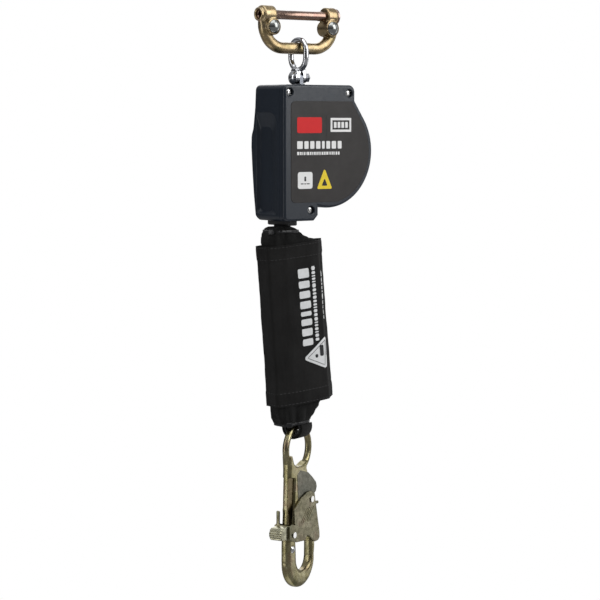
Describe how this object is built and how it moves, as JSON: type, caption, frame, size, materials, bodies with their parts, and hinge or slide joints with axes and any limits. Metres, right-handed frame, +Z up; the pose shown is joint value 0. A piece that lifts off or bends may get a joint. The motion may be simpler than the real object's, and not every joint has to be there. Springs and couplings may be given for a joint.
{
  "type": "self retracting lifeline",
  "caption": "Compact self retracting lifeline: pin connector, swivel ring, moulded housing with a sprung web drum and locking pawls, covered tear pack and double action snap hook.",
  "frame": {"origin": "middle of the harness pin, on its axis", "axes": "+X runs along the harness pin towards its flanged end, -Y is the way the labelled face looks, +Z is up and the object hangs down from the pin"},
  "size_m": [0.1181, 0.054, 0.5579],
  "materials": {
    "zinc_gold": "yellow zinc plate",
    "pin_steel": "yellow zinc plate, rubbed",
    "button_steel": "nickel plated",
    "spring_steel": "bright spring steel",
    "chrome": "bright chrome",
    "stud_steel": "dark plated steel",
    "bronze": "sintered bronze",
    "frame_steel": "stamped stainless steel",
    "case": "moulded dark blue plastic",
    "label": "printed film",
    "screw_steel": "bright steel",
    "nozzle": "moulded black plastic",
    "drum_alloy": "cast aluminium",
    "webbing": "woven web",
    "pack_fabric": "woven cover cloth",
    "tie_plastic": "nylon",
    "hook_zinc": "yellow zinc plate",
    "gate_zinc": "yellow zinc plate, stamped"
  },
  "bodies": {
    "connector": {"connector_bow": "zinc_gold", "lock_springs": "spring_steel"},
    "pin": {"connector_pin": "pin_steel"},
    "left_button": {"lock_button_left": "button_steel"},
    "right_button": {"lock_button_right": "button_steel"},
    "ring": {"swivel_ring": "chrome", "clevis_bolt": "chrome", "clevis_washer": "stud_steel", "clevis_nut": "chrome"},
    "swivel": {"swivel_stud": "stud_steel"},
    "housing": {"swivel_bush": "bronze", "thrust_washer": "bronze", "anchor_block": "frame_steel", "rear_housing": "case", "front_cover": "case", "front_label": "label", "cover_screws": "screw_steel", "web_nozzle": "nozzle", "frame_front_plate": "frame_steel", "frame_rear_plate": "frame_steel", "frame_rivets": "frame_steel", "guide_bars": "frame_steel", "shaft_bushes": "bronze", "ratchet_ring": "frame_steel", "spring_cup": "frame_steel", "power_spring": "spring_steel"},
    "drum": {"drum_shaft": "frame_steel", "drum_hub": "drum_alloy", "drum_front_flange": "drum_alloy", "drum_rear_flange": "drum_alloy", "web_anchor_pin": "frame_steel", "spring_arbor": "frame_steel", "web_roll": "webbing", "pawl_pins": "frame_steel", "pawl_springs": "spring_steel", "shaft_clip": "spring_steel"},
    "pawl_one": {"pawl_one": "frame_steel"},
    "pawl_two": {"pawl_two": "frame_steel"},
    "lifeline": {"web_strand": "webbing", "tear_pack": "webbing", "inner_cover": "pack_fabric", "outer_sleeve": "pack_fabric", "cover_tie_top": "tie_plastic", "cover_tie_bottom": "tie_plastic", "hook_loop": "webbing", "loop_guard": "pack_fabric"},
    "hook": {"hook_body": "hook_zinc", "gate_pin": "screw_steel", "gate_spring": "spring_steel", "lever_pin": "screw_steel", "lever_spring": "spring_steel", "hook_rivet": "screw_steel"},
    "gate": {"gate": "gate_zinc"},
    "lever": {"lock_lever": "gate_zinc"}
  },
  "joints": [
    {"name": "pin_slide", "type": "slide", "parent": "connector", "child": "pin", "axis": [1, 0, 0], "range_m": [0, 0.11]},
    {"name": "left_button_press", "type": "slide", "parent": "connector", "child": "left_button", "axis": [0, 1, 0], "range_m": [0, 0.003], "stiffness_N_per_m": 500, "springref_m": -0.003},
    {"name": "right_button_press", "type": "slide", "parent": "connector", "child": "right_button", "axis": [0, 1, 0], "range_m": [0, 0.003], "stiffness_N_per_m": 500, "springref_m": -0.003},
    {"name": "ring_swing", "type": "hinge", "parent": "connector", "child": "ring", "pos_m": [0, 0, -0.031], "axis": [1, 0, 0], "range_deg": [-75, 75]},
    {"name": "swivel_tilt", "type": "hinge", "parent": "ring", "child": "swivel", "pos_m": [0, 0, -0.0585], "axis": [1, 0, 0], "range_deg": [-45, 45]},
    {"name": "housing_swivel", "type": "hinge", "parent": "swivel", "child": "housing", "pos_m": [0, 0, -0.075], "axis": [0, 0, 1], "continuous": true},
    {"name": "web_payout", "type": "slide", "parent": "housing", "child": "lifeline", "axis": [0, 0, -1], "range_m": [0, 1.8], "stiffness_N_per_m": 5, "springref_m": -3, "deforming": ["web_strand"]},
    {"name": "drum_turn", "type": "hinge", "parent": "housing", "child": "drum", "pos_m": [0.0163, 0, -0.128], "axis": [0, 1, 0], "range_deg": [-2881, 1]},
    {"name": "pawl_one_fling", "type": "hinge", "parent": "drum", "child": "pawl_one", "pos_m": [0.0163, -0.018, -0.102], "axis": [0, 1, 0], "range_deg": [0, 15], "stiffness_Nm_per_rad": 0.01, "springref_deg": -34.38},
    {"name": "pawl_two_fling", "type": "hinge", "parent": "drum", "child": "pawl_two", "pos_m": [0.0163, -0.018, -0.154], "axis": [0, 1, 0], "range_deg": [0, 15], "stiffness_Nm_per_rad": 0.01, "springref_deg": -34.38},
    {"name": "hook_swing", "type": "hinge", "parent": "lifeline", "child": "hook", "pos_m": [-0.0016, 0, -0.3925], "axis": [0.9272, 0.3746, 0], "range_deg": [-60, 60]},
    {"name": "gate_open", "type": "hinge", "parent": "hook", "child": "gate", "pos_m": [0.01416, 0.00637, -0.4656], "axis": [-0.3746, 0.9272, 0], "range_deg": [0, 40], "stiffness_Nm_per_rad": 0.05, "springref_deg": -28.65},
    {"name": "lever_press", "type": "hinge", "parent": "hook", "child": "lever", "pos_m": [-0.02061, -0.00768, -0.4944], "axis": [-0.3746, 0.9272, 0], "range_deg": [0, 10], "stiffness_Nm_per_rad": 0.08, "springref_deg": -28.65}
  ],
  "couplings": [
    {"joint": "drum_turn", "follows": "web_payout", "rad_per_m": -27.925}
  ]
}
